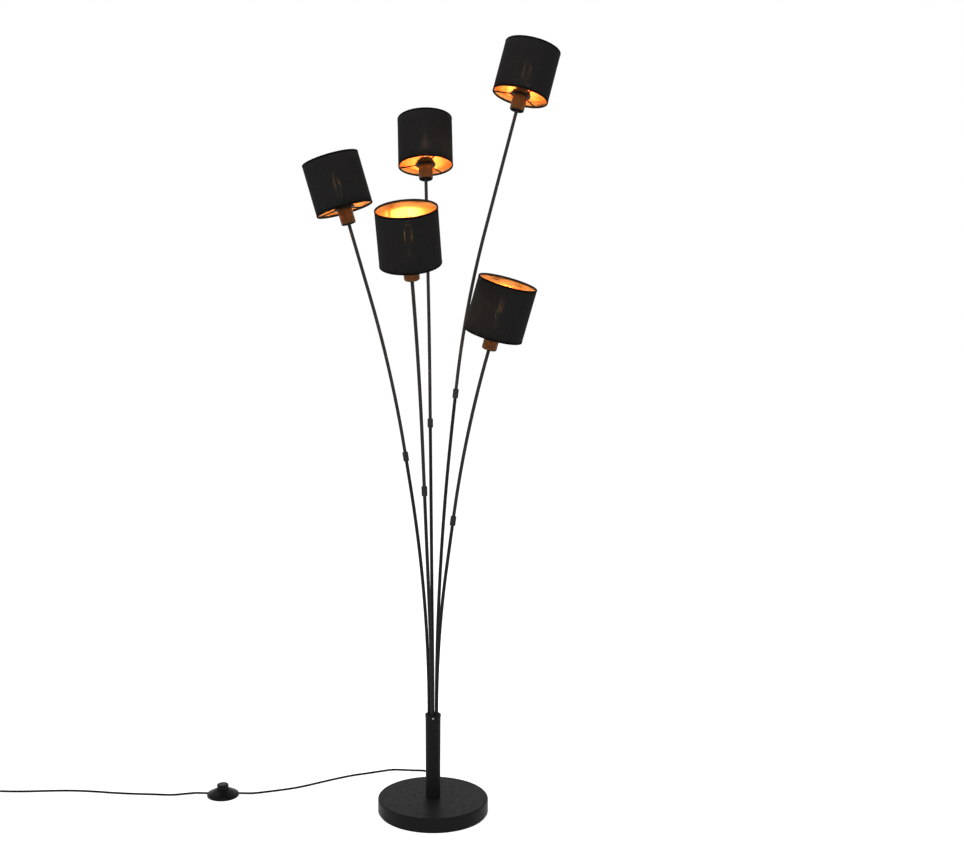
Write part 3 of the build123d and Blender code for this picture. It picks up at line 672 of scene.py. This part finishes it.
def seam_shift(angle, outside):
    """The sheet's end lies on its start: one edge shows outside and the other inside."""
    seam = radians(SEAM_AZIMUTH)
    half = SEAM_WIDTH / SHADE_RADIUS / 2
    if outside:
        if seam - half <= angle < seam + half + 1e-9:
            return SEAM_STEP * (angle - seam + half) / (2 * half)
        return 0.0
    if seam - half <= angle < seam + half:
        return -SEAM_STEP * (seam + half - angle) / (2 * half)
    return 0.0


def shade(letter):
    """Laminated wall with a glued seam, and a rolled rim at each end."""
    low, high = SHADE_BOTTOM + WALL_END_INSET, SHADE_TOP - WALL_END_INSET
    inner, outer = SHADE_RADIUS - WALL - LINING_INSET, SHADE_RADIUS - FABRIC_INSET
    up = [(outer, low + (high - low) * k / WALL_ROWS) for k in range(WALL_ROWS + 1)]
    down = [(inner, high - (high - low) * k / WALL_ROWS) for k in range(WALL_ROWS + 1)]
    wall = revolved(
        f"shade_wall_{letter}",
        up + down,
        wall_angles(),
        letter,
        [fabric, lining],
        pick=lambda k: 1 if k > WALL_ROWS else 0,
        shift=lambda angle, k: seam_shift(angle, k <= WALL_ROWS),
    )
    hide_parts(f"shade_drum_{letter}")
    for end, height, sign in (("bottom", SHADE_BOTTOM, 1), ("top", SHADE_TOP, -1)):
        # The rims wear the darker copy of the weave, which is painted shade.
        rim = revolved(
            f"shade_rim_{end}_{letter}",
            rim_profile(height, sign),
            even_angles(SHADE_SIDES),
            letter,
            [painted_shade_trim],
        )


def rim_profile(height, sign):
    """Fabric rolled over the wire ring at one end of the wall."""
    middle_radius, middle_height = SHADE_RADIUS - RIM_INSET, height + sign * RIM_ROLL
    points = []
    for k in range(RIM_STEPS + 1):
        angle = pi * k / RIM_STEPS
        points.append((middle_radius + RIM_ROLL * cos(angle), middle_height - sign * RIM_ROLL * sin(angle)))
    points.append((middle_radius - RIM_ROLL, middle_height + sign * RIM_HEM))
    points.append((middle_radius + RIM_ROLL, middle_height + sign * RIM_HEM))
    return points


# Bulbs: heights are measured from the bottom of the lamp holder
BULB_FOOT = 0.0223
BULB_TOP = 0.1203
BULB_TOP_INSIDE = 0.1194
GLASS_WALL = 0.0007
CAP_RADIUS = 0.0069
CAP_GROOVE_RADIUS = 0.0062
CAP_THREADS = 5
CAP_THREAD_BOTTOM = 0.0262
CAP_THREAD_PITCH = 0.0028


def candle_profile(inside=0.0):
    """Outline of the glass from its neck to its tip, drawn in by inside."""
    outline = [
        (0.0072, 0.0462), (0.0074, 0.0480), (0.0083, 0.0520), (0.0104, 0.0580), (0.0130, 0.0645),
        (0.0154, 0.0710), (0.0169, 0.0770), (0.0174, 0.0820), (0.0171, 0.0875), (0.0160, 0.0930),
        (0.0139, 0.0990), (0.0111, 0.1050), (0.0081, 0.1105), (0.0054, 0.1150), (0.0032, 0.1182),
        (0.0014, 0.1199),
    ]
    tip_start = 12
    return [
        (max(radius - inside, 0.0), height - (inside if k >= tip_start else 0.0))
        for k, (radius, height) in enumerate(outline)
    ]


def smooth_profile(points, pieces=3):
    """Catmull-Rom curve through the points."""
    ends = [points[0], *points, points[-1]]
    path = []
    for a, b, c, d in zip(ends, ends[1:], ends[2:], ends[3:]):
        for k in range(pieces):
            t = k / pieces
            path.append(tuple(
                0.5 * (2 * q + (r - p) * t + (2 * p - 5 * q + 4 * r - s) * t * t + (3 * q - p - 3 * r + s) * t ** 3)
                for p, q, r, s in zip(a, b, c, d)
            ))
    return path + [points[-1]]


def bulb(letter):
    """Candle bulb: glass, screw cap, glass stem and filaments."""
    outer = smooth_profile(candle_profile())
    inner = smooth_profile(candle_profile(GLASS_WALL))
    envelope = revolved(
        f"bulb_glass_{letter}",
        outer + [(0.0, BULB_TOP), (0.0, BULB_TOP_INSIDE)] + inner[::-1],
        even_angles(48),
        letter,
        [clear_glass],
    )
    envelope.visible_shadow = False
    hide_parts(f"bulb_{letter}")

    cap = [(0.0, BULB_FOOT), (0.0030, BULB_FOOT), (0.0034, 0.0236), (0.0058, 0.0252)]
    for thread in range(CAP_THREADS):
        height = CAP_THREAD_BOTTOM + thread * CAP_THREAD_PITCH
        cap += [(CAP_GROOVE_RADIUS, height), (CAP_RADIUS, height + 0.0009), (CAP_GROOVE_RADIUS, height + 0.0018)]
    cap += [(0.0066, 0.0412), (CAP_RADIUS, 0.0425), (0.0071, 0.0463), (0.0, 0.0463)]
    screw = revolved(f"bulb_cap_{letter}", cap, even_angles(36), letter, [nickel], closed=False)

    stem_outline = [
        (0.0046, 0.0466), (0.0040, 0.0520), (0.0026, 0.0580), (0.0019, 0.0640), (0.0016, 0.0700), (0.0, 0.0706),
    ]
    stem = revolved(
        f"bulb_stem_{letter}",
        smooth_profile(stem_outline),
        even_angles(20),
        letter,
        [stem_glass],
        closed=False,
    )
    stem.visible_shadow = False
    filaments(letter)


# Direction in which each bulb's two filaments stand apart: it shows how far the bulb was screwed in
FILAMENT_AZIMUTH = {"a": 0.0, "b": 90.0, "c": 45.0, "d": 5.0, "e": 60.0}
FILAMENT_LOW = 0.0750
FILAMENT_HIGH = 0.0970
FILAMENT_APART = 0.0132
FILAMENT_RADIUS = 0.0009
WIRE_RADIUS = 0.0002
WIRE_FOOT = 0.0600
WIRE_TOP = 0.1010
# The wires close in over the top to this share of the filaments' distance
WIRE_TOP_SHARE = 0.3


def filaments(letter):
    """Two glowing strips, and the wires that carry them from the stem and over the top."""
    angle = radians(FILAMENT_AZIMUTH[letter])
    side = Vector((cos(angle), sin(angle), 0.0)) * (FILAMENT_APART / 2)
    up = Vector((0.0, 0.0, 1.0))
    parts = (("filaments", FILAMENT_RADIUS, filament_glow), ("wires", WIRE_RADIUS, enamel))
    for part, radius, material in parts:
        mesh = bpy.data.meshes.new(f"bulb_{part}_{letter}")
        built = bmesh.new()
        for sign in (-1, 1):
            low, high = up * FILAMENT_LOW + side * sign, up * FILAMENT_HIGH + side * sign
            if part == "filaments":
                add_rod(built, low, high, radius, 8)
            else:
                add_rod(built, up * WIRE_FOOT, low, radius, 6)
                add_rod(built, high, up * WIRE_TOP + side * sign * WIRE_TOP_SHARE, radius, 6)
        if part == "wires":
            over = side * WIRE_TOP_SHARE
            add_rod(built, up * WIRE_TOP - over, up * WIRE_TOP + over, radius, 6)
        built.to_mesh(mesh)
        built.free()
        piece = bpy.data.objects.new(mesh.name, mesh)
        bpy.context.collection.objects.link(piece)
        piece.matrix_world = holder_matrix(letter)
        mesh.materials.append(material)
        piece.visible_shadow = False
        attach(piece, BODY)


def add_rod(built, low, high, radius, sides):
    """Closed rod between two points."""
    along = (high - low).normalized()
    side = along.orthogonal().normalized()
    across = along.cross(side)
    rings = []
    for centre in (low, high):
        rings.append([
            built.verts.new(centre + radius * (cos(2 * pi * k / sides) * side + sin(2 * pi * k / sides) * across))
            for k in range(sides)
        ])
    for k in range(sides):
        face = built.faces.new((rings[0][k], rings[0][(k + 1) % sides], rings[1][(k + 1) % sides], rings[1][k]))
        face.smooth = True
    built.faces.new(rings[0][::-1])
    built.faces.new(rings[1])


LAMP_POWER = 0.85
LAMP_COLOUR = (1.0, 0.85, 0.60)
LAMP_SIZE = 0.004
LAMPS_PER_FILAMENT = 3


def lamp(letter):
    """Light of the two filaments, in three places along each."""
    angle = radians(FILAMENT_AZIMUTH[letter])
    step = (FILAMENT_HIGH - FILAMENT_LOW) / LAMPS_PER_FILAMENT
    for part in range(2 * LAMPS_PER_FILAMENT):
        side = (FILAMENT_APART / 2) * (1 if part < LAMPS_PER_FILAMENT else -1)
        height = FILAMENT_LOW + (part % LAMPS_PER_FILAMENT + 0.5) * step
        data = bpy.data.lights.new(f"filament_light_{letter}_{part}", "POINT")
        data.energy = LAMP_POWER / (2 * LAMPS_PER_FILAMENT)
        data.color = LAMP_COLOUR
        data.shadow_soft_size = LAMP_SIZE
        light = bpy.data.objects.new(data.name, data)
        bpy.context.collection.objects.link(light)
        light.location = holder_matrix(letter) @ Vector((side * cos(angle), side * sin(angle), height))
        light.visible_camera = False
        light.visible_transmission = False


for letter in LETTERS:
    shade(letter)
    bulb(letter)
    lamp(letter)

# ------------------------------------------------------------------ room and light


# Glow that lifts the floor to white where it is seen, and the strength of the world's light and white
FLOOR_GLOW = 0.62
FLOOR_HALF_SIZE = 14
WORLD_LIGHT = 0.5
WORLD_WHITE = 1.0


def floor_material():
    """White floor that keeps soft shadows."""
    shader = Shader("floor_white", (0.86, 0.86, 0.86), 0.9, specular_ior_level=0.0)
    path = shader.node("ShaderNodeLightPath")
    glow = shader.math("MULTIPLY", seen_directly(shader.tree, path), FLOOR_GLOW)
    shader.set("Emission Color", (1.0, 1.0, 1.0, 1.0))
    shader.link(glow, shader.principled.inputs["Emission Strength"])
    shader.link(hidden_behind_weave(shader, shader.principled.outputs["BSDF"]), shader.output.inputs["Surface"])
    return shader.material


def world():
    """Even white studio, white where it is seen and black behind the weave."""
    space = bpy.data.worlds.new("studio")
    space.use_nodes = True
    tree = space.node_tree
    background = tree.nodes["Background"]
    background.inputs["Color"].default_value = (1.0, 1.0, 1.0, 1.0)
    path = tree.nodes.new("ShaderNodeLightPath")
    level = tree.nodes.new("ShaderNodeMapRange")
    level.inputs["To Min"].default_value = WORLD_LIGHT
    level.inputs["To Max"].default_value = WORLD_WHITE
    tree.links.new(seen_directly(tree, path), level.inputs["Value"])
    outside = math_node(tree, "LESS_THAN", path.outputs["Transparent Depth"], 0.5)
    strength = math_node(tree, "MULTIPLY", level.outputs["Result"], outside)
    tree.links.new(strength, background.inputs["Strength"])
    bpy.context.scene.world = space


def softbox(name, place, aim, size, power):
    """Soft area light that lights the object but isn't mirrored in it."""
    data = bpy.data.lights.new(name, "AREA")
    data.shape = "RECTANGLE"
    data.size, data.size_y = size
    data.energy = power
    light = bpy.data.objects.new(name, data)
    bpy.context.collection.objects.link(light)
    light.location = place
    light.rotation_euler = (Vector(aim) - Vector(place)).to_track_quat("-Z", "Y").to_euler()
    light.visible_camera = False
    light.visible_glossy = False


floor_corners = [(x * FLOOR_HALF_SIZE, y * FLOOR_HALF_SIZE, 0) for x, y in ((-1, -1), (1, -1), (1, 1), (-1, 1))]
floor_mesh = bpy.data.meshes.new("floor")
floor_mesh.from_pydata(floor_corners, [], [(0, 1, 2, 3)])
floor_mesh.materials.append(floor_material())
floor = bpy.data.objects.new("floor", floor_mesh)
bpy.context.collection.objects.link(floor)
world()
softbox("key", (-2.2, -2.4, 3.2), (0.0, 0.0, 0.7), (2.0, 2.0), 70.0)
softbox("fill", (2.6, -2.0, 2.2), (0.0, 0.0, 0.8), (2.0, 2.5), 30.0)
softbox("overhead", (0.0, 0.6, 3.6), (0.0, 0.0, 0.5), (2.5, 2.5), 40.0)

bpy.context.scene.view_settings.view_transform = "Standard"

bpy.context.view_layer.update()
